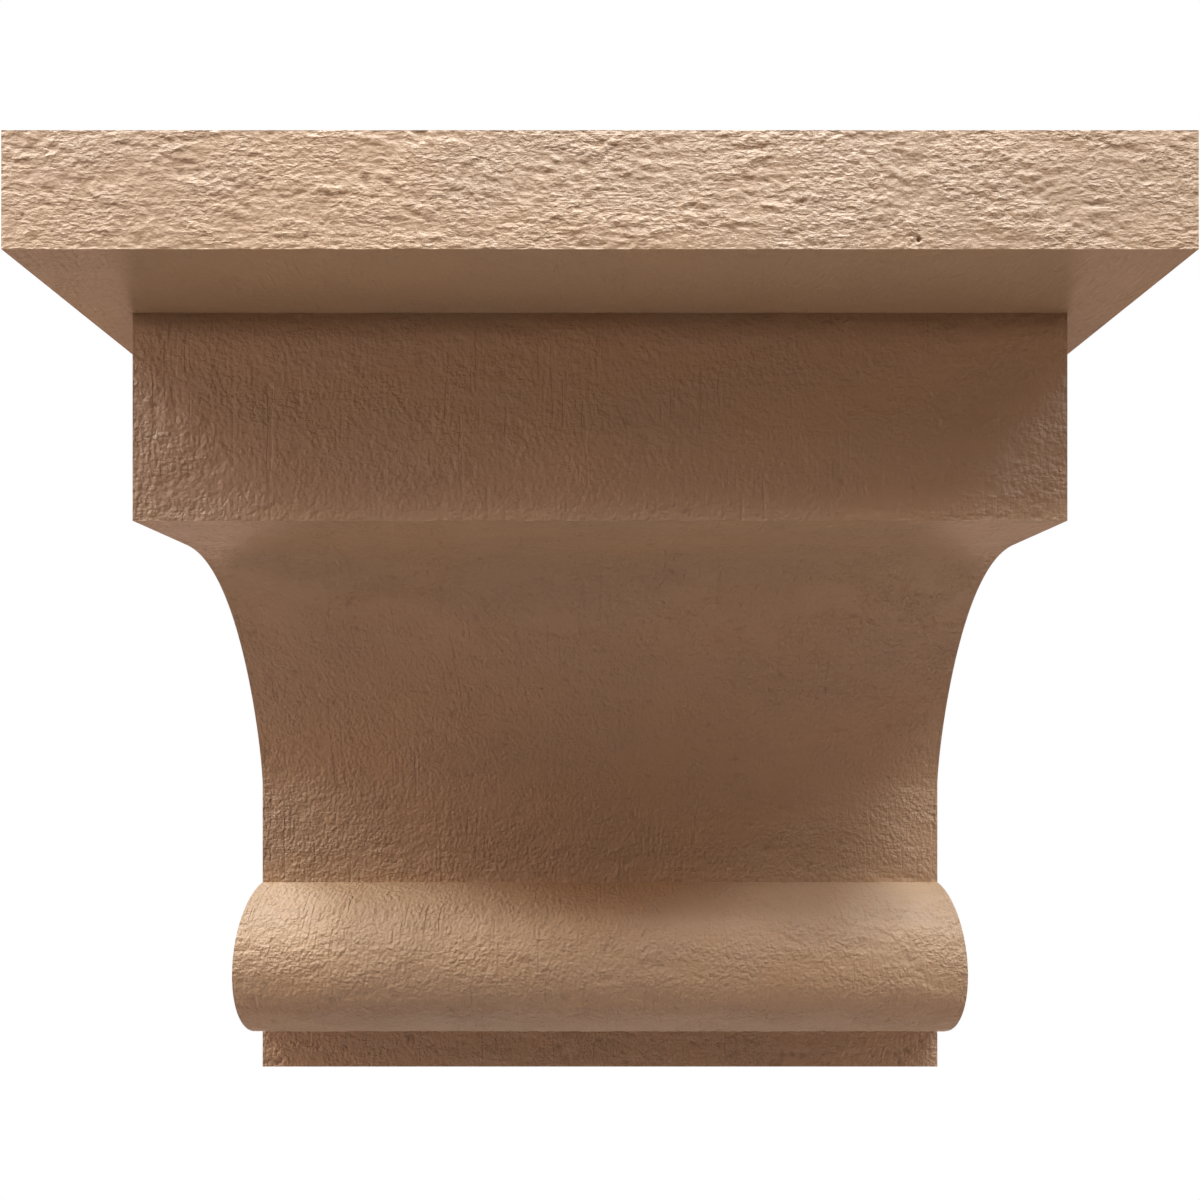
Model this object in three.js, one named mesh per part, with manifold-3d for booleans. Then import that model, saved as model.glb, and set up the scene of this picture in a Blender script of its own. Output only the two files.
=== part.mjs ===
// Moulded wall corbel with a projecting top slab, a square block, a cove and a half-round roll.
// It is one moulded piece: the slab overhangs the body on three sides, and everything under the
// slab is one side profile run straight across the width. Millimetres, +Z up, front towards -Y.
// The origin is the middle of the flat back, which lies against the wall.

import * as THREE from 'three';
import { mergeVertices, toCreasedNormals } from 'three/addons/utils/BufferGeometryUtils.js';
import Module from 'manifold-3d';

// Top slab
const SLAB_WIDTH = 254;
const SLAB_DEPTH = 152.4;
const SLAB_THICKNESS = 25.4;

// Body: the width of everything under the slab
const BODY_WIDTH = 228.6;

// Block: the square-fronted course right under the slab
const BLOCK_DEPTH = 127;
const BLOCK_HEIGHT = 50.8;
const SOFFIT_DEPTH = 25.1; // flat underside of the block in front of the cove

// Cove: the hollow curve from the block's underside down to the upright neck
const COVE_HEIGHT = 70.3;
const COVE_TOP_PULL = 0.65; // how far the curve stays level, as a share of its reach
const COVE_FOOT_PULL = 0.17; // how far the curve stays upright, as a share of its height

// Neck: the thin lower body, with the roll and a short foot under it
const NECK_DEPTH = 53.6;
const NECK_FLAT = 32.2; // upright face between the cove and the roll
const ROLL_RADIUS = 25.1;
const ROLL_INSET = 3.1; // how far the roll's centre lies behind the neck's face
const FOOT_HEIGHT = 12.8;

const CURVE_STEPS = 24;
const SHARP_EDGE = Math.PI / 6; // faces that meet at more than this angle keep a crisp edge

// Heights above the underside of the foot, from the bottom up
const rollHalfChord = Math.sqrt(ROLL_RADIUS ** 2 - ROLL_INSET ** 2);
const rollCentre = FOOT_HEIGHT + rollHalfChord;
const rollTop = rollCentre + rollHalfChord;
const coveFoot = rollTop + NECK_FLAT;
const blockUnderside = coveFoot + COVE_HEIGHT;
const slabUnderside = blockUnderside + BLOCK_HEIGHT;
const overallHeight = slabUnderside + SLAB_THICKNESS;

const wasm = await Module();
wasm.setup();

// A three.js geometry as a manifold solid, with only its positions kept and shared corners merged.
function toSolid(geometry) {
  const bare = geometry.clone();
  bare.deleteAttribute('normal');
  bare.deleteAttribute('uv');
  const merged = mergeVertices(bare);
  return new wasm.Manifold(
    new wasm.Mesh({
      numProp: 3,
      vertProperties: new Float32Array(merged.attributes.position.array),
      triVerts: new Uint32Array(merged.index.array),
    })
  );
}

function toGeometry(solid) {
  const mesh = solid.getMesh();
  const geometry = new THREE.BufferGeometry();
  geometry.setAttribute('position', new THREE.BufferAttribute(mesh.vertProperties, 3));
  geometry.setIndex(new THREE.BufferAttribute(mesh.triVerts, 1));
  return toCreasedNormals(geometry, SHARP_EDGE);
}

// Side view of the body: x is the distance out from the wall, y the height above the foot.
// It runs up into the middle of the slab, so that the two join without a seam.
function bodyProfile() {
  const coveReach = BLOCK_DEPTH - SOFFIT_DEPTH - NECK_DEPTH;
  const rollSweep = Math.acos(ROLL_INSET / ROLL_RADIUS);
  const insideSlab = slabUnderside + SLAB_THICKNESS / 2;

  const profile = new THREE.Shape();
  profile.moveTo(0, 0);
  profile.lineTo(NECK_DEPTH, 0);
  profile.lineTo(NECK_DEPTH, FOOT_HEIGHT);
  profile.absarc(NECK_DEPTH - ROLL_INSET, rollCentre, ROLL_RADIUS, -rollSweep, rollSweep, false);
  profile.lineTo(NECK_DEPTH, coveFoot);
  profile.bezierCurveTo(
    NECK_DEPTH,
    coveFoot + COVE_FOOT_PULL * COVE_HEIGHT,
    NECK_DEPTH + coveReach * (1 - COVE_TOP_PULL),
    blockUnderside,
    NECK_DEPTH + coveReach,
    blockUnderside
  );
  profile.lineTo(BLOCK_DEPTH, blockUnderside);
  profile.lineTo(BLOCK_DEPTH, insideSlab);
  profile.lineTo(0, insideSlab);
  profile.closePath();
  return profile;
}

// The profile run across the full body width, stood up with its front towards -Y.
function bodySolid() {
  const geometry = new THREE.ExtrudeGeometry(bodyProfile(), {
    depth: BODY_WIDTH,
    bevelEnabled: false,
    curveSegments: CURVE_STEPS,
  });
  geometry.translate(0, 0, -BODY_WIDTH / 2);
  const outward = new THREE.Vector3(0, -1, 0);
  const upward = new THREE.Vector3(0, 0, 1);
  const across = new THREE.Vector3(-1, 0, 0);
  geometry.applyMatrix4(new THREE.Matrix4().makeBasis(outward, upward, across));
  return toSolid(geometry);
}

function slabSolid() {
  const geometry = new THREE.BoxGeometry(SLAB_WIDTH, SLAB_DEPTH, SLAB_THICKNESS);
  geometry.translate(0, -SLAB_DEPTH / 2, slabUnderside + SLAB_THICKNESS / 2);
  return toSolid(geometry);
}

const tanFinish = new THREE.MeshStandardMaterial({ color: 0xc29f7c, roughness: 0.45, metalness: 0 });

const corbel = new THREE.Mesh(toGeometry(slabSolid().add(bodySolid())), tanFinish);
corbel.name = 'corbel';
corbel.position.z = -overallHeight / 2;

const part = new THREE.Group();
part.add(corbel);

export default part;
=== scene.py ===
"""Looks of the moulded wall corbel: a rough-sawn timber relief under a tan satin finish.

The corbel is one closed mesh made of patches. Each patch is one face of the solid, laid out flat in
millimetres along (u) and across (v) its grain, filled with points and put back in its place. Neighbours
share the points of their common edge. The relief is then pressed into every face.
"""

import math

import bpy
import numpy as np
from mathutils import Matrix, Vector, noise
from mathutils.geometry import delaunay_2d_cdt


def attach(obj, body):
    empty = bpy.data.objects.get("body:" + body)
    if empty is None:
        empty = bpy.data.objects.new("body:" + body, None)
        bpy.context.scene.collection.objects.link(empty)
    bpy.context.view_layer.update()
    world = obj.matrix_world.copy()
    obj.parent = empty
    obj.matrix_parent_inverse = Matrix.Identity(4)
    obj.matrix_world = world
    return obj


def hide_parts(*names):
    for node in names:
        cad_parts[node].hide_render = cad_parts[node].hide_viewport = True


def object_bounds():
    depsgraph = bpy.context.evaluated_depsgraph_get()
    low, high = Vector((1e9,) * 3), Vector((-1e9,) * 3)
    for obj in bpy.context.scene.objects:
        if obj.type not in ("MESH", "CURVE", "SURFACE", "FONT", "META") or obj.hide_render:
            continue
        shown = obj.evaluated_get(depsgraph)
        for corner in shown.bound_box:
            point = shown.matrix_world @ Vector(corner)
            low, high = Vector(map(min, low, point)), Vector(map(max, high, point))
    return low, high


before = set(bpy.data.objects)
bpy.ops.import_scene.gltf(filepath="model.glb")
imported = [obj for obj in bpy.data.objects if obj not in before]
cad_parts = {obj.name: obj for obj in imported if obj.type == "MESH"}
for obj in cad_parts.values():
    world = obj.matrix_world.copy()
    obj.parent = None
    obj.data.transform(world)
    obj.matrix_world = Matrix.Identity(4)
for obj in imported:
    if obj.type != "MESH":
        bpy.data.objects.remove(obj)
cad_low, cad_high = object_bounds()

MM = 0.001

# Sizes of the solid in millimetres
HALF_SLAB = cad_high.x / MM
SLAB_DEPTH = -cad_low.y / MM
TOP = cad_high.z / MM
BOTTOM = cad_low.z / MM
SLAB_THICKNESS = 25.4
HALF_BODY = 114.3
BLOCK_DEPTH = 127.0
BLOCK_HEIGHT = 50.8
SOFFIT_DEPTH = 25.1
COVE_HEIGHT = 70.3
COVE_TOP_PULL = 0.65
COVE_FOOT_PULL = 0.17
NECK_DEPTH = 53.6
ROLL_RADIUS = 25.1
ROLL_INSET = 3.1
FOOT_HEIGHT = 12.8

SLAB_UNDERSIDE = TOP - SLAB_THICKNESS
BLOCK_UNDERSIDE = SLAB_UNDERSIDE - BLOCK_HEIGHT
COVE_FOOT = BLOCK_UNDERSIDE - COVE_HEIGHT
COVE_REACH = BLOCK_DEPTH - SOFFIT_DEPTH - NECK_DEPTH
FOOT_TOP = BOTTOM + FOOT_HEIGHT
ROLL_CENTRE = FOOT_TOP + math.sqrt(ROLL_RADIUS**2 - ROLL_INSET**2)
ROLL_TOP = 2 * ROLL_CENTRE - FOOT_TOP

# What was read from the photograph, in pixels, and where its camera stood, in millimetres
PHOTO_SIZE = 1200
PHOTO_SLAB_WIDTH = 1197.7
PHOTO_HORIZON = 729.5
CAMERA_TO_SLAB = 165.1
CAMERA_BELOW_TOP = 127.0
SENSOR = 36.0

# Relief in millimetres. The mean surface lies the skin's depth under the solid's faces, and no hollow but the
# two pits reaches more than DEEPEST below it.
SKIN = 0.1
FRONT_SKIN = 0.25  # on the slab's rough front
DEEPEST = 0.75
EDGE_MARGIN = 0.8  # the relief fades in over this distance from every edge
FINE_CELL = 0.8  # faces with smaller cells also carry the finest bumps
BUMP_LEAN = 0.6  # how far the bumps' tops are drawn down over their undersides
FINE_LEAN = 0.3
FINE_SHARES = (0.56, 0.6)  # the finest bumps' size along and across the grain, as shares of the bumps' size
SCARP_SPACING = 3.3  # between two lines of torn fibres
SCARP_RISE = 0.24  # the share of that spacing in which the surface rises
SLOW_WANDER = 0.8  # how far the lines stray, as a share of their spacing
QUICK_WANDER = 0.25
WARP = 1.2  # how far the grain itself strays
SWELL = 0.11
CALMEST = 0.4  # the share of the relief that is left where it is calmest

# Noise of the relief. Each field has its size along and across the grain in millimetres, its octaves and its
# seed.
WARP_FIELD = (22, 11, 1, 3.1)
CALM_FIELD = (14, 7, 2, 1.1)
REACH_FIELD = (4, 1.6, 2, 4.4)
SWELL_FIELD = (13, 4.5, 2, 1.3)
SLOW_WANDER_FIELD = (12, 5, 1, 0.0)
QUICK_WANDER_FIELD = (4, 3, 1, 2.0)
BUMP_SEED = 5.9
FINE_SEED = 8.3
SCARP_SEED = 9.2
SEED_STEP = 11.0  # from one face to the next
GRAIN_STEP = 40.0  # millimetres along the grain from one face's shader texture to the next one's
OCTAVE_FALL = 1.0
OCTAVE_RATIO = 2.1
BUMP_OCTAVES = 2
FINE_OCTAVES = 1
CALM_RANGE = (-0.4, 0.25)  # the noise from calmest to roughest
REACH_RANGE = (0.1, 0.5)  # the noise from no torn fibres to their full height

# Small round pits: u, v, radius and depth, all in millimetres
SLAB_PIT = (67.65, 97.45, 0.65, 0.7)
COVE_PIT = (-18.8, 82.3, 0.6, 0.5)
PIT_FLOOR = 0.3  # the share of the radius that is flat
PIT_CLEAR = 1.6  # no point of the face's own grid lies within this many radii
PIT_RINGS = [(0.5, 6), (0.8, 10), (1.1, 12)]  # radius, in radii of the pit, and number of points

# Spacing of points in millimetres
BLOCK_EDGE_STEP = 1.3
SLAB_EDGE_STEP = 0.85
SLAB_CORNER_STEP = 0.6
SIDE_STEP = 1.6
BACK_STEP = 5.0
ROW_RATIO = 1.155  # width over height of an even triangle
OUTLINE_CLEAR = 0.55  # how many cells the grid stays away from the outline
SAME_POINT = 0.001  # points closer than this are one
MERGE_LIMIT = 1e-6  # in cells
ALL_TRIANGLES = 0  # what the triangulation gives back

ACROSS = (1, 0, 0)
OUTWARD = (0, -1, 0)
BACKWARD = (0, 1, 0)
UPWARD = (0, 0, 1)
DOWNWARD = (0, 0, -1)


# Side profile: curves that run downwards, as points (distance out from the wall, height)


def cove_curve(steps=160):
    """The block's flat underside, the cove and the upright neck."""
    t = np.linspace(0, 1, steps)[:, None]
    start = np.array([NECK_DEPTH + COVE_REACH, BLOCK_UNDERSIDE])
    end = np.array([NECK_DEPTH, COVE_FOOT])
    top_pull = start - [COVE_REACH * COVE_TOP_PULL, 0]
    foot_pull = end + [0, COVE_HEIGHT * COVE_FOOT_PULL]
    cove = (1 - t) ** 3 * start + 3 * (1 - t) ** 2 * t * top_pull
    cove = cove + 3 * (1 - t) * t**2 * foot_pull + t**3 * end
    return np.vstack([[[BLOCK_DEPTH, BLOCK_UNDERSIDE]], cove, [[NECK_DEPTH, ROLL_TOP]]])


def roll_curve(steps=200):
    sweep = math.acos(ROLL_INSET / ROLL_RADIUS)
    angle = np.linspace(sweep, -sweep, steps)
    out = NECK_DEPTH - ROLL_INSET + ROLL_RADIUS * np.cos(angle)
    return np.column_stack([out, ROLL_CENTRE + ROLL_RADIUS * np.sin(angle)])


def straight(start, end):
    return np.array([start, end], float)


def arc_lengths(curve):
    return np.concatenate([[0], np.cumsum(np.linalg.norm(np.diff(curve, axis=0), axis=1))])


# Faces


def spaced(start, end, step):
    """Even places from start to end, at most a step apart."""
    return np.linspace(start, end, max(1, math.ceil(abs(end - start) / step)) + 1)


def loop_through(*runs):
    """A closed outline from runs of points, each of which starts where the last one ended."""
    return np.vstack([run[:-1] for run in runs])


def along_u(us, v):
    return np.column_stack([us, np.full(len(us), float(v))])


def along_v(u, vs):
    return np.column_stack([np.full(len(vs), float(u)), vs])


class Grain:
    """A kind of relief: the size of its bumps along and across the grain, and its heights."""

    def __init__(self, size, bumps, fine, torn, pebbled):
        self.size = size
        self.bumps = bumps
        self.fine = fine
        self.torn = torn
        self.pebbled = pebbled  # how much of the shader's pebbles show


FIBROUS = Grain(size=(2.3, 1.7), bumps=0.26, fine=0.085, torn=0.28, pebbled=0.42)
PEBBLED = Grain(size=(2.5, 2.6), bumps=0.3, fine=0.1, torn=0.1, pebbled=1.0)


class Patch:
    """A face: its outline along and across the grain, its place on the solid and its cell size."""

    def __init__(self, outline, place, cell, sawn, grain=PEBBLED, skin=SKIN, up=1, pits=()):
        self.outline = outline
        self.place = place
        self.cell = np.array(cell)
        self.sawn = sawn  # how strong the relief is
        self.grain = grain
        self.skin = skin
        self.up = up  # -1 where v runs downwards
        self.pits = pits


def flat_place(origin, along, across, normal):
    """Puts (u, v) on a flat face."""
    origin, along, across = (np.array(a, float) for a in (origin, along, across))

    def place(uv):
        spots = origin + uv[:, :1] * along + uv[:, 1:] * across
        return spots, np.tile(np.array(normal, float), (len(uv), 1))

    return place


def strip_place(curve):
    """Puts (u, v) on a strip of the body's front: u is x, and v the length along the curve."""
    lengths = arc_lengths(curve)
    slopes = np.gradient(curve, lengths, axis=0) if len(curve) > 2 else np.diff(curve, axis=0)

    def place(uv):
        v = uv[:, 1]
        out = np.interp(v, lengths, curve[:, 0])
        up = np.interp(v, lengths, curve[:, 1])
        if len(curve) > 2:
            run = np.column_stack([np.interp(v, lengths, slopes[:, i]) for i in (0, 1)])
        else:
            run = np.repeat(slopes, len(v), axis=0)
        run = run / np.linalg.norm(run, axis=1)[:, None]
        spots = np.column_stack([uv[:, 0], -out, up])
        return spots, np.column_stack([np.zeros(len(v)), run[:, 1], run[:, 0]])

    return place


BLOCK_FRONT = straight((BLOCK_DEPTH, SLAB_UNDERSIDE), (BLOCK_DEPTH, BLOCK_UNDERSIDE))
FOOT_FRONT = straight((NECK_DEPTH, FOOT_TOP), (NECK_DEPTH, BOTTOM))
FOOT_UNDERSIDE = straight((NECK_DEPTH, BOTTOM), (0, BOTTOM))

# Body strips from the slab down: curve, cell size, strength, pits and the spacing along the edge below
STRIPS = [
    (BLOCK_FRONT, (1.15, 0.72), 0.9, [], BLOCK_EDGE_STEP),
    (cove_curve(), (1.6, 1.05), 1.25, [COVE_PIT], 1.4),
    (roll_curve(), (1.3, 0.85), 1.15, [], 1.3),
    (FOOT_FRONT, (1.2, 0.75), 1.7, [], 1.6),
    (FOOT_UNDERSIDE, (4.0, 3.0), 0.4, [], BACK_STEP),
]


def body_strips():
    """The strips, and the side profile that runs through their ends."""
    patches, profile = [], []
    edge_above = spaced(-HALF_BODY, HALF_BODY, BLOCK_EDGE_STEP)
    for curve, cell, sawn, pits, edge_step in STRIPS:
        edge_below = spaced(-HALF_BODY, HALF_BODY, edge_step)
        place = strip_place(curve)
        vs = spaced(0, arc_lengths(curve)[-1], cell[1])
        outline = loop_through(
            along_u(edge_above, vs[0]),
            along_v(HALF_BODY, vs),
            along_u(edge_below[::-1], vs[-1]),
            along_v(-HALF_BODY, vs[::-1]),
        )
        patches.append(Patch(outline, place, cell, sawn, up=-1, pits=pits))
        spots = place(along_v(0, vs))[0]
        profile.append(np.column_stack([-spots[:, 1], spots[:, 2]]))
        edge_above = edge_below
    return patches, profile


def make_patches():
    """Every face of the solid; the outlines of neighbours have the same points on their common edge."""
    patches, profile = body_strips()

    slab_x = spaced(-HALF_SLAB, HALF_SLAB, SLAB_EDGE_STEP)
    back_x = spaced(-HALF_SLAB, HALF_SLAB, BACK_STEP)
    slab_out = spaced(0, SLAB_DEPTH, SIDE_STEP)
    corner_z = spaced(SLAB_UNDERSIDE, TOP, SLAB_CORNER_STEP)
    slab_back_z = spaced(SLAB_UNDERSIDE, TOP, BACK_STEP)
    body_x = spaced(-HALF_BODY, HALF_BODY, BLOCK_EDGE_STEP)
    body_back_x = spaced(-HALF_BODY, HALF_BODY, BACK_STEP)
    body_out = spaced(0, BLOCK_DEPTH, SIDE_STEP)
    body_back_z = spaced(BOTTOM, SLAB_UNDERSIDE, BACK_STEP)
    ledge_x = spaced(HALF_BODY, HALF_SLAB, BACK_STEP)

    front = loop_through(
        along_u(slab_x, SLAB_UNDERSIDE),
        along_v(HALF_SLAB, corner_z),
        along_u(slab_x[::-1], TOP),
        along_v(-HALF_SLAB, corner_z[::-1]),
    )
    place = flat_place((0, -SLAB_DEPTH, 0), ACROSS, UPWARD, OUTWARD)
    patches.append(Patch(front, place, (0.85, 0.46), 1.0, FIBROUS, FRONT_SKIN, pits=[SLAB_PIT]))

    top = loop_through(
        along_u(back_x, 0),
        along_v(HALF_SLAB, slab_out),
        along_u(slab_x[::-1], SLAB_DEPTH),
        along_v(-HALF_SLAB, slab_out[::-1]),
    )
    place = flat_place((0, 0, TOP), ACROSS, OUTWARD, UPWARD)
    patches.append(Patch(top, place, (2.8, 2.3), 0.8, FIBROUS))

    underside = loop_through(
        along_v(-HALF_SLAB, slab_out),
        along_u(slab_x, SLAB_DEPTH),
        along_v(HALF_SLAB, slab_out[::-1]),
        along_u(ledge_x[::-1], 0),
        along_v(HALF_BODY, body_out),
        along_u(body_x[::-1], BLOCK_DEPTH),
        along_v(-HALF_BODY, body_out[::-1]),
        along_u(-ledge_x, 0),
    )
    place = flat_place((0, 0, SLAB_UNDERSIDE), ACROSS, OUTWARD, DOWNWARD)
    patches.append(Patch(underside, place, (1.8, 1.6), 0.65))

    back = loop_through(
        along_u(body_back_x, BOTTOM),
        along_v(HALF_BODY, body_back_z),
        along_u(ledge_x, SLAB_UNDERSIDE),
        along_v(HALF_SLAB, slab_back_z),
        along_u(back_x[::-1], TOP),
        along_v(-HALF_SLAB, slab_back_z[::-1]),
        along_u(-ledge_x[::-1], SLAB_UNDERSIDE),
        along_v(-HALF_BODY, body_back_z[::-1]),
    )
    place = flat_place((0, 0, 0), ACROSS, UPWARD, BACKWARD)
    patches.append(Patch(back, place, (7.0, 7.0), 0.15, skin=0.0))

    slab_end = loop_through(
        along_u(slab_out, SLAB_UNDERSIDE),
        along_v(SLAB_DEPTH, corner_z),
        along_u(slab_out[::-1], TOP),
        along_v(0, slab_back_z[::-1]),
    )
    side = loop_through(
        along_u(body_out, SLAB_UNDERSIDE),
        *profile,
        along_v(0, body_back_z),
    )
    for x_sign in (-1, 1):
        sideward = (x_sign, 0, 0)
        place = flat_place((x_sign * HALF_SLAB, 0, 0), OUTWARD, UPWARD, sideward)
        patches.append(Patch(slab_end, place, (1.5, 0.95), 0.9, FIBROUS))
        place = flat_place((x_sign * HALF_BODY, 0, 0), OUTWARD, UPWARD, sideward)
        patches.append(Patch(side, place, (2.4, 1.8), 0.75))
    return patches


# Filling a face with points


def edge_distance(outline, points, chunk=2000):
    """How far each point lies from the outline."""
    start = outline
    run = np.roll(outline, -1, axis=0) - start
    length2 = (run**2).sum(1)
    found = np.empty(len(points))
    for i in range(0, len(points), chunk):
        offset = points[i : i + chunk, None, :] - start
        t = np.clip((offset * run).sum(2) / length2, 0, 1)
        found[i : i + chunk] = np.sqrt(((offset - t[:, :, None] * run) ** 2).sum(2).min(1))
    return found


def inside(outline, points):
    """Whether each point lies inside the outline, by counting the edges to its right."""
    a, b = outline, np.roll(outline, -1, axis=0)
    crossings = np.zeros(len(points), int)
    for (ax, ay), (bx, by) in zip(a, b):
        if ay == by:
            continue
        spans = (ay > points[:, 1]) != (by > points[:, 1])
        cut = ax + (points[:, 1] - ay) * (bx - ax) / (by - ay)
        crossings += spans & (points[:, 0] < cut)
    return crossings % 2 == 1


def staggered_grid(outline, cell):
    """Rows of points over the outline's box, each shifted by half a cell from the last."""
    low, high = outline.min(0), outline.max(0)
    rows = spaced(low[1], high[1], cell[1])[1:-1]
    columns = spaced(low[0], high[0], cell[0])[1:-1]
    points = []
    for i, v in enumerate(rows):
        shift = cell[0] * (0.25 if i % 2 else -0.25)
        points.append(along_u(columns + shift, v))
    return np.vstack(points)


def pit_points(u, v, radius):
    """Points in rings around a small round pit."""
    points = [(u, v)]
    for share, count in PIT_RINGS:
        for i in range(count):
            angle = 2 * math.pi * i / count
            away = share * radius
            points.append((u + away * math.cos(angle), v + away * math.sin(angle)))
    return np.array(points)


def fill(patch):
    """The patch's points, outline first, and its triangles."""
    scale = 1 / (patch.cell * [1, ROW_RATIO])
    outline = patch.outline * scale
    grid = staggered_grid(patch.outline, patch.cell)
    grid = grid[inside(patch.outline, grid)]
    grid = grid[edge_distance(outline, grid * scale) > OUTLINE_CLEAR]
    for u, v, radius, _ in patch.pits:
        clear = np.hypot(grid[:, 0] - u, grid[:, 1] - v) > PIT_CLEAR * radius
        grid = np.vstack([grid[clear], pit_points(u, v, radius)])
    points = np.vstack([patch.outline, grid])
    count = len(patch.outline)
    edges = [(i, (i + 1) % count) for i in range(count)]
    coords = [Vector(p) for p in points * scale]
    made = delaunay_2d_cdt(coords, edges, [], ALL_TRIANGLES, MERGE_LIMIT, True)
    source = [first[0] for first in made[3]]
    triangles = np.array([[source[i] for i in face] for face in made[2]])
    triangles = triangles[inside(patch.outline, points[triangles].mean(1))]
    return points, triangles


# Relief


def noise_at(u, v, seed, octaves):
    """Noise of about -1 to 1 at each (u, v)."""
    spots = ((a, b, seed) for a, b in zip(u, v))
    return np.array([noise.fractal(spot, OCTAVE_FALL, OCTAVE_RATIO, octaves) for spot in spots])


def noise_field(u, v, seed, field):
    size_u, size_v, octaves, field_seed = field
    return noise_at(u / size_u, v / size_v, seed + field_seed, octaves)


def smooth_step(x, low, high):
    t = np.clip((x - low) / (high - low), 0, 1)
    return t * t * (3 - 2 * t)


def leaning_bumps(u, v, size, lean, seed, octaves):
    """Bumps whose undersides are steeper than their tops; v points up."""
    size_u, size_v = size
    first = noise_at(u / size_u, v / size_v, seed, octaves)
    return noise_at(u / size_u, (v + lean * first) / size_v, seed, octaves)


def scarps(u, v, seed):
    """Torn fibres of -0.5 to 0.5: a slow fall, then a quick rise, in lines that wander along the grain."""
    wander = SLOW_WANDER * noise_field(u, v, seed, SLOW_WANDER_FIELD)
    wander = wander + QUICK_WANDER * noise_field(u, v, seed, QUICK_WANDER_FIELD)
    phase = (v / SCARP_SPACING + wander) % 1.0
    fall = 1 - SCARP_RISE
    return np.where(phase < fall, 0.5 - phase / fall, (phase - fall) / SCARP_RISE - 0.5)


def relief(u, v, seed, grain, fine):
    """Sawn timber, in millimetres: leaning bumps and torn fibres between calmer islands."""
    v = v + WARP * noise_field(u, v, seed, WARP_FIELD)
    calm = smooth_step(noise_field(u, v, seed, CALM_FIELD), *CALM_RANGE)
    calm = CALMEST + (1 - CALMEST) * calm
    bumps = grain.bumps * leaning_bumps(u, v, grain.size, BUMP_LEAN, seed + BUMP_SEED, BUMP_OCTAVES)
    if fine:
        size = [share * length for share, length in zip(FINE_SHARES, grain.size)]
        small = leaning_bumps(u, v, size, FINE_LEAN, seed + FINE_SEED, FINE_OCTAVES)
        bumps = bumps + grain.fine * small
    reach = smooth_step(noise_field(u, v, seed, REACH_FIELD), *REACH_RANGE)
    torn = grain.torn * scarps(u, v, seed + SCARP_SEED) * reach
    swell = SWELL * noise_field(u, v, seed, SWELL_FIELD)
    return calm * (bumps + torn) + swell


def pit_depth(uv, pits):
    """How far the patch's small round pits reach below the relief."""
    depth = np.zeros(len(uv))
    for u, v, radius, deepest in pits:
        away = np.hypot(uv[:, 0] - u, uv[:, 1] - v) / radius
        depth += deepest * (1 - smooth_step(away, PIT_FLOOR, 1.0))
    return depth


def press(patch, number):
    """The patch with its relief: points on the solid, pushes into it, (u, v), depths and triangles."""
    uv, triangles = fill(patch)
    spots, normals = patch.place(uv)
    corners = spots[triangles]
    facing = np.cross(corners[:, 1] - corners[:, 0], corners[:, 2] - corners[:, 0])
    flip = (facing * normals[triangles[:, 0]]).sum(1) < 0
    triangles[flip] = triangles[flip][:, ::-1]

    fade = smooth_step(edge_distance(patch.outline, uv), 0, EDGE_MARGIN)
    fine = patch.cell[1] < FINE_CELL
    height = relief(uv[:, 0], uv[:, 1] * patch.up, SEED_STEP * number, patch.grain, fine)
    depths = np.clip(patch.sawn * fade * height, -DEEPEST, patch.skin) - pit_depth(uv, patch.pits)
    pushes = normals * (depths - patch.skin)[:, None]
    return spots, pushes, uv + [GRAIN_STEP * number, 0], depths, triangles


def merge(spots, pushes):
    """The solid's points in metres, each pushed in from every face that it is on, and where each went."""
    keys = np.round(spots / SAME_POINT).astype(np.int64)
    _, first, merged = np.unique(keys, axis=0, return_index=True, return_inverse=True)
    merged = merged.ravel()
    push = np.zeros((len(first), 3))
    np.add.at(push, merged, pushes)
    return (spots[first] + push) * MM, merged


def triangle_mesh(name, points, triangles):
    mesh = bpy.data.meshes.new(name)
    mesh.vertices.add(len(points))
    mesh.vertices.foreach_set("co", points.ravel())
    mesh.loops.add(triangles.size)
    mesh.loops.foreach_set("vertex_index", triangles.ravel())
    mesh.polygons.add(len(triangles))
    mesh.polygons.foreach_set("loop_start", np.arange(0, triangles.size, 3))
    mesh.update(calc_edges=True)
    mesh.validate()
    return mesh


def add_corner_values(mesh, name, values):
    attribute = mesh.attributes.new(name, "FLOAT", "CORNER")
    attribute.data.foreach_set("value", values)


def mark_creases(mesh, corner_patch):
    """Keeps a crisp edge wherever two faces of the solid meet."""
    edges = np.empty(len(mesh.loops), int)
    mesh.loops.foreach_get("edge_index", edges)
    low = np.full(len(mesh.edges), corner_patch.max() + 1)
    high = np.full(len(mesh.edges), -1)
    np.minimum.at(low, edges, corner_patch)
    np.maximum.at(high, edges, corner_patch)
    crease = mesh.attributes.new("sharp_edge", "BOOLEAN", "EDGE")
    crease.data.foreach_set("value", low != high)


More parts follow.
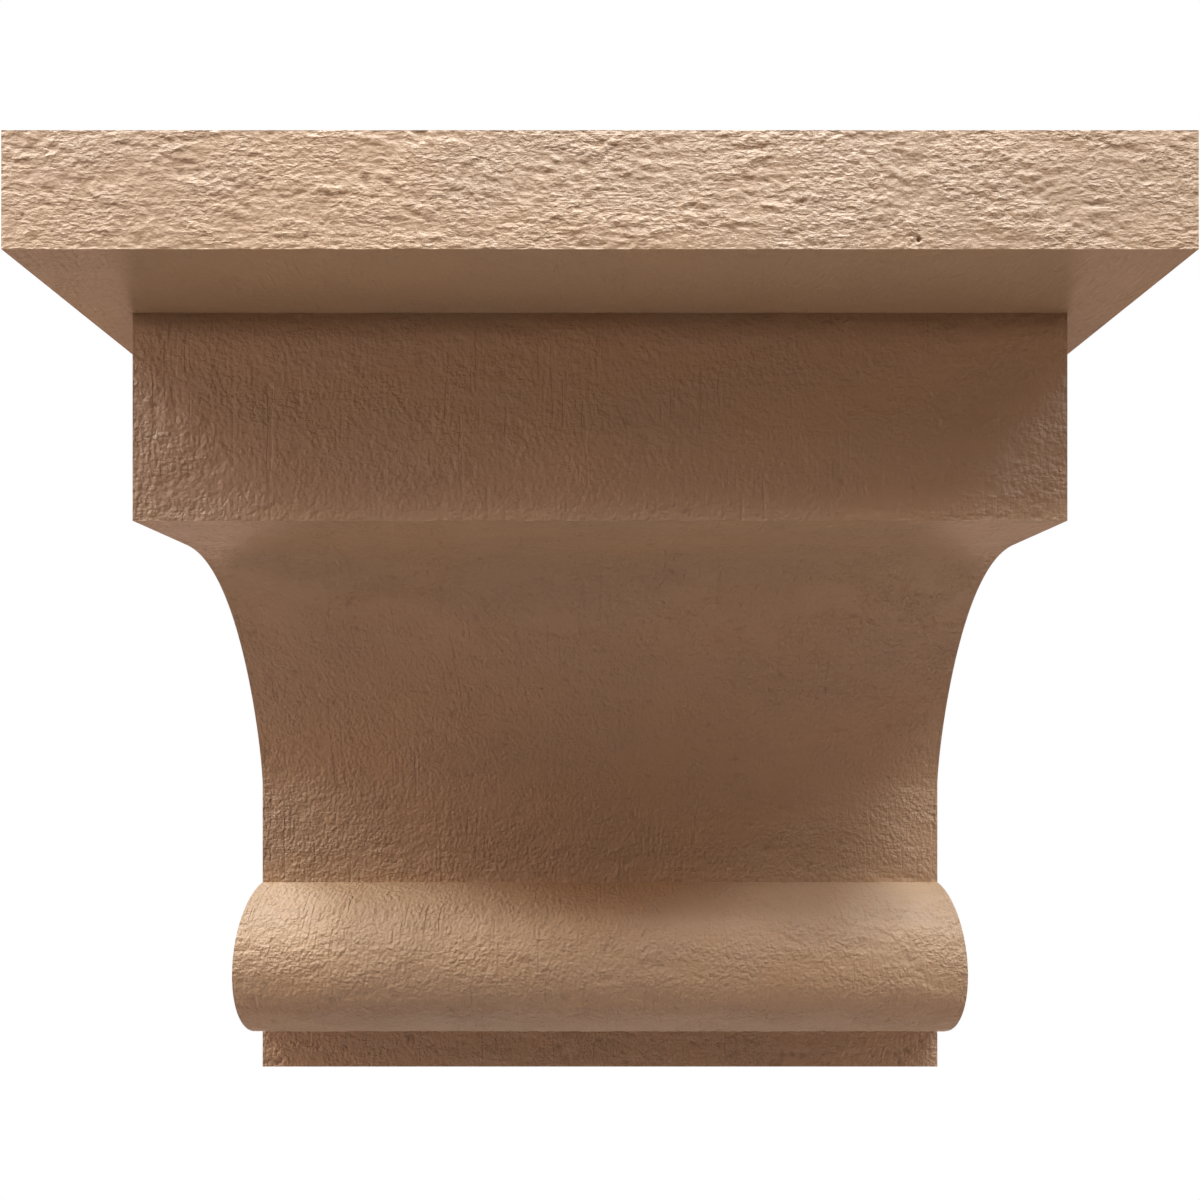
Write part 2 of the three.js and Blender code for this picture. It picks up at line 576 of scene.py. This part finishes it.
def build_corbel():
    patches = make_patches()
    pressed = [press(patch, number) for number, patch in enumerate(patches)]
    spots, pushes, uv, depths, triangles = zip(*pressed)
    offsets = np.cumsum([0] + [len(part) for part in spots[:-1]])
    faces = np.vstack([part + offset for part, offset in zip(triangles, offsets)])
    points, merged = merge(np.vstack(spots), np.vstack(pushes))
    mesh = triangle_mesh("corbel_rough_sawn", points, merged[faces])

    corners = faces.ravel()
    corner_patch = np.repeat(np.arange(len(patches)), [part.size for part in triangles])
    sawn = np.array([patch.sawn for patch in patches])
    pebbled = np.array([patch.sawn * patch.grain.pebbled for patch in patches])
    grain = mesh.uv_layers.new(name="grain")
    grain.uv.foreach_set("vector", (np.vstack(uv)[corners] * MM).ravel())
    add_corner_values(mesh, "sawn", sawn[corner_patch])
    add_corner_values(mesh, "pebbled", pebbled[corner_patch])
    add_corner_values(mesh, "depth", np.concatenate(depths)[corners])
    mark_creases(mesh, corner_patch)

    corbel = bpy.data.objects.new("corbel_rough_sawn", mesh)
    bpy.context.scene.collection.objects.link(corbel)
    return corbel


# Material

# Sockets of a colour Mix node
MIX_SHARE = 0
MIX_A = 6
MIX_B = 7
MIX_RESULT = 2


class Nodes:
    """A short way to add shader nodes and join them."""

    def __init__(self, tree):
        self.tree = tree
        tree.nodes.clear()

    def add(self, kind, inputs=None, **settings):
        node = self.tree.nodes.new(kind)
        for name, value in settings.items():
            setattr(node, name, value)
        for name, value in (inputs or {}).items():
            self.set(node, name, value)
        return node

    def set(self, node, name, value):
        if isinstance(value, bpy.types.NodeSocket):
            self.tree.links.new(value, node.inputs[name])
        else:
            node.inputs[name].default_value = value

    def math(self, operation, a, b=0.0, c=0.0):
        node = self.add("ShaderNodeMath", {0: a, 1: b, 2: c}, operation=operation)
        return node.outputs[0]

    def ramp(self, value, low, high, to_low=0.0, to_high=1.0):
        node = self.add(
            "ShaderNodeMapRange",
            {"Value": value, "From Min": low, "From Max": high, "To Min": to_low, "To Max": to_high},
            interpolation_type="SMOOTHSTEP",
        )
        return node.outputs[0]

    def mix(self, share, a, b, blend="MIX"):
        node = self.add("ShaderNodeMix", data_type="RGBA", blend_type=blend)
        self.set(node, MIX_SHARE, share)
        self.set(node, MIX_A, a)
        self.set(node, MIX_B, b)
        return node.outputs[MIX_RESULT]

    def stretched(self, where, size_u, size_v):
        """Coordinates in which one unit is so many millimetres along and across the grain."""
        scale = (1 / (size_u * MM), 1 / (size_v * MM), 1.0)
        return self.add("ShaderNodeMapping", {"Vector": where, "Scale": scale}).outputs[0]

    def noise(self, where, size_u, size_v, detail, roughness=0.55, distortion=0.0):
        """Noise of about 0 to 1; the sizes along and across the grain are in millimetres."""
        inputs = {
            "Vector": self.stretched(where, size_u, size_v),
            "Scale": 1.0,
            "Detail": detail,
            "Roughness": roughness,
            "Distortion": distortion,
        }
        return self.add("ShaderNodeTexNoise", inputs, noise_dimensions="2D").outputs[0]

    def cells(self, where, size_u, size_v):
        """Rounded cells: 0 in the middle of each and up to about 1 in the cracks between them."""
        inputs = {"Vector": self.stretched(where, size_u, size_v), "Scale": 1.0, "Smoothness": 0.25}
        node = self.add("ShaderNodeTexVoronoi", inputs, voronoi_dimensions="2D", feature="SMOOTH_F1")
        return node.outputs["Distance"]


TAN = (0.47, 0.333, 0.205, 1.0)
LIGHTER = (1.06, 1.03, 0.98, 1.0)  # by how much the finish differs in broad, faint patches
LIGHT_TAN = tuple(a * b for a, b in zip(TAN, LIGHTER))
HOLLOW_PAINTED_SHADE = 0.8  # painted shade: the share of its colour that the surface keeps in the hollows, darkened there to stand in for their shade
HOLLOW_PAINTED_SHADE_RANGE = (-0.32, -0.1)  # millimetres from the mean surface, from the full painted shade to none
SPECULAR = 0.58
ROUGH_HOLLOW = 0.58
ROUGH_TOP = 0.5

# Heights of the shader's own relief in millimetres: fibres along the grain, uneven pebbles drawn out across
# it, the cracks between rounded grains, saw streaks right across the grain, and grit
FIBRE_HEIGHT = 0.28
PEBBLE_HEIGHT = 0.5
GRAIN_DEPTH = 0.24
STREAK_HEIGHT = 0.18
GRIT_HEIGHT = 0.04


def tan_sawn_material():
    material = bpy.data.materials.new("tan_sawn_relief")
    material.use_nodes = True
    nodes = Nodes(material.node_tree)
    where = nodes.add("ShaderNodeUVMap", uv_map="grain").outputs[0]
    sawn = nodes.add("ShaderNodeAttribute", attribute_name="sawn").outputs["Fac"]
    depth = nodes.add("ShaderNodeAttribute", attribute_name="depth").outputs["Fac"]
    pebbled = nodes.add("ShaderNodeAttribute", attribute_name="pebbled").outputs["Fac"]

    patches = nodes.ramp(nodes.noise(where, 16, 9, detail=2.0), 0.36, 0.6, to_low=0.6)
    fibres = nodes.noise(where, 1.7, 0.75, detail=2.0, roughness=0.5, distortion=0.2)
    pebbles = nodes.noise(where, 1.35, 1.7, detail=3.0, roughness=0.5, distortion=0.1)
    grains = nodes.cells(where, 1.15, 1.6)
    streaks = nodes.ramp(nodes.noise(where, 2.4, 24, detail=1.0), 0.6, 0.68, to_low=1.0, to_high=0.0)
    streaked = nodes.ramp(nodes.noise(where, 22, 30, detail=1.0), 0.42, 0.6)
    grit = nodes.noise(where, 0.45, 0.5, detail=1.0, roughness=0.5)

    height = nodes.math("MULTIPLY", pebbles, PEBBLE_HEIGHT)
    height = nodes.math("MULTIPLY_ADD", grains, -GRAIN_DEPTH, height)
    height = nodes.math("MULTIPLY_ADD", nodes.math("MULTIPLY", streaks, streaked), STREAK_HEIGHT, height)
    height = nodes.math("MULTIPLY_ADD", grit, GRIT_HEIGHT, height)
    height = nodes.math("MULTIPLY", height, pebbled)
    height = nodes.math("MULTIPLY_ADD", nodes.math("MULTIPLY", fibres, sawn), FIBRE_HEIGHT, height)
    height = nodes.math("MULTIPLY", height, patches)
    bump = nodes.add("ShaderNodeBump", {"Height": height, "Distance": MM, "Strength": 1.0})

    tone = nodes.ramp(nodes.noise(where, 60, 30, detail=3.0), 0.3, 0.7)
    base = nodes.mix(tone, TAN, LIGHT_TAN)
    # Painted shade: the colour is darkened in the relief's hollows, by their depth, to stand in for the shade
    # that falls there
    painted_hollow_shade = nodes.ramp(depth, *HOLLOW_PAINTED_SHADE_RANGE, to_low=HOLLOW_PAINTED_SHADE)
    base = nodes.mix(1.0, base, painted_hollow_shade, "MULTIPLY")

    shader = nodes.add(
        "ShaderNodeBsdfPrincipled",
        {
            "Base Color": base,
            "Roughness": nodes.ramp(fibres, 0.3, 0.7, ROUGH_HOLLOW, ROUGH_TOP),
            "Normal": bump.outputs[0],
            "Specular IOR Level": SPECULAR,
        },
    )
    output = nodes.add("ShaderNodeOutputMaterial")
    material.node_tree.links.new(shader.outputs[0], output.inputs[0])
    return material


# Studio


WHITE = (1.0, 1.0, 1.0)
COOL = (1.0, 1.1, 1.24)
AMBER = (1.0, 0.8, 0.62)
WARM = (1.0, 0.7, 0.63)  # light that has bounced off the room

# Soft boxes: name, turn from the front towards the viewer's right and height in degrees, the light that
# reaches the corbel in watts per square metre, and its colour
SOFT_BOXES = [
    ("high_left", -84, 72, 2.0, COOL),
    ("side_left", -86, 45, 1.0, WHITE),
    ("upper_left", -71, 49, 0.74, WHITE),
    ("left", -50, 60, 0.5, WHITE),
    ("overhead", -2, 68, 1.8, WHITE),
    ("overhead_front", 18, 64, 0.6, WHITE),
    ("upper_right", 37, 62, 1.0, WHITE),
    ("high_right", 54, 70, 0.95, COOL),
    ("right", 72, 50, 0.75, COOL),
    ("low_left", -80, 12, 0.5, AMBER),
    ("low_right", 80, 12, 0.35, AMBER),
    ("right_low", 60, 36, 0.17, WARM),
    ("left_low", -60, 36, 0.42, WARM),
    ("front_left", -38, 9, 0.56, WARM),
    ("below_left", -88, -30, 0.08, WARM),
    ("below_right", 60, -45, 0.3, WARM),
    ("below_behind_left", -150, -30, 0.44, WARM),
    ("below_behind_right", 150, -30, 0.35, WARM),
    ("behind", 180, 40, 1.2, WHITE),
]
BOX_SPREAD = 14.0  # how wide each soft box looks from the corbel, in degrees
BOX_DISTANCE = 2.4  # metres
FLOOR_BOX_DISTANCE = 1.6  # for the boxes below the corbel, which stay above the floor
LIGHTS_AIM = Vector((0, -0.1, 0))  # about the middle of the corbel

# Small reflectors close beside the foot: name, side, strength and colour
FOOT_REFLECTORS = [
    ("foot_left", -1, 0.65, (1.0, 0.6, 0.5)),
    ("foot_right", 1, 0.65, (1.0, 0.75, 0.7)),
]
REFLECTOR_PLACE = Vector((0.21, -0.085, -0.125))  # of the right one; metres, like the next two
REFLECTOR_AIM = Vector((0.1, -0.06, -0.1))
REFLECTOR_SIZE = 0.05

FILL_STRENGTH = 0.06  # of the even light from all around
FLOOR_HALF = 0.75  # metres
FLOOR_DROP = 1.5
FLOOR_COLOUR = (0.8, 0.75, 0.7, 1)
FLOOR_ROUGHNESS = 0.8
NEAR_CLIP = 0.01


def disc_light(name, place, aim, size, strength, colour):
    """A round light that gives the aimed spot its strength in watts per square metre."""
    towards = place - aim
    data = bpy.data.lights.new(name, "AREA")
    data.shape = "DISK"
    data.size = size
    data.energy = strength * math.pi * towards.length_squared
    data.color = colour
    box = bpy.data.objects.new(name, data)
    box.location = place
    box.rotation_mode = "QUATERNION"
    box.rotation_quaternion = towards.to_track_quat("Z", "Y")
    bpy.context.scene.collection.objects.link(box)


def soft_box(name, turn, height, strength, colour):
    distance = BOX_DISTANCE if height > 0 else FLOOR_BOX_DISTANCE
    turn, height = math.radians(turn), math.radians(height)
    level = math.cos(height)
    towards = Vector((math.sin(turn) * level, -math.cos(turn) * level, math.sin(height)))
    size = 2 * distance * math.tan(math.radians(BOX_SPREAD / 2))
    disc_light(name, LIGHTS_AIM + towards * distance, LIGHTS_AIM, size, strength, colour)


def add_lights():
    for box in SOFT_BOXES:
        soft_box(*box)
    for name, x_sign, strength, colour in FOOT_REFLECTORS:
        side = Vector((x_sign, 1, 1))
        disc_light(name, REFLECTOR_PLACE * side, REFLECTOR_AIM * side, REFLECTOR_SIZE, strength, colour)


def add_surroundings():
    """A white backdrop for the camera, and a dimmer even fill for the object."""
    world = bpy.data.worlds.new("studio")
    bpy.context.scene.world = world
    world.use_nodes = True
    nodes = Nodes(world.node_tree)
    seen = nodes.add("ShaderNodeBackground", {"Color": (1, 1, 1, 1), "Strength": 1.0})
    fill = nodes.add("ShaderNodeBackground", {"Color": (*WARM, 1), "Strength": FILL_STRENGTH})
    path = nodes.add("ShaderNodeLightPath")
    blend = nodes.add("ShaderNodeMixShader")
    world.node_tree.links.new(path.outputs["Is Camera Ray"], blend.inputs[0])
    world.node_tree.links.new(fill.outputs[0], blend.inputs[1])
    world.node_tree.links.new(seen.outputs[0], blend.inputs[2])
    output = nodes.add("ShaderNodeOutputWorld")
    world.node_tree.links.new(blend.outputs[0], output.inputs[0])


def add_floor():
    mesh = bpy.data.meshes.new("floor")
    signs = ((-1, -1), (1, -1), (1, 1), (-1, 1))
    corners = [(x * FLOOR_HALF, y * FLOOR_HALF, -FLOOR_DROP) for x, y in signs]
    mesh.from_pydata(corners, [], [(0, 1, 2, 3)])
    floor = bpy.data.objects.new("floor", mesh)
    bpy.context.scene.collection.objects.link(floor)
    material = bpy.data.materials.new("pale_floor")
    material.use_nodes = True
    shader = material.node_tree.nodes["Principled BSDF"]
    shader.inputs["Base Color"].default_value = FLOOR_COLOUR
    shader.inputs["Roughness"].default_value = FLOOR_ROUGHNESS
    mesh.materials.append(material)


def add_camera():
    data = bpy.data.cameras.new("camera")
    data.sensor_width = SENSOR
    photo_share = PHOTO_SLAB_WIDTH / PHOTO_SIZE
    data.lens = SENSOR * photo_share * CAMERA_TO_SLAB / (2 * (HALF_SLAB - SKIN))
    data.shift_y = (PHOTO_HORIZON - PHOTO_SIZE / 2) / PHOTO_SIZE
    data.clip_start = NEAR_CLIP
    camera = bpy.data.objects.new("camera", data)
    slab_face = SLAB_DEPTH - FRONT_SKIN
    slab_top = TOP - SKIN
    camera.location = (0, -(slab_face + CAMERA_TO_SLAB) * MM, (slab_top - CAMERA_BELOW_TOP) * MM)
    camera.rotation_euler = (math.pi / 2, 0, 0)
    bpy.context.scene.collection.objects.link(camera)
    bpy.context.scene.camera = camera


corbel = build_corbel()
corbel.data.materials.append(tan_sawn_material())
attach(corbel, "root")
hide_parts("corbel")

add_lights()
add_surroundings()
add_floor()
add_camera()
bpy.context.scene.view_settings.view_transform = "Standard"
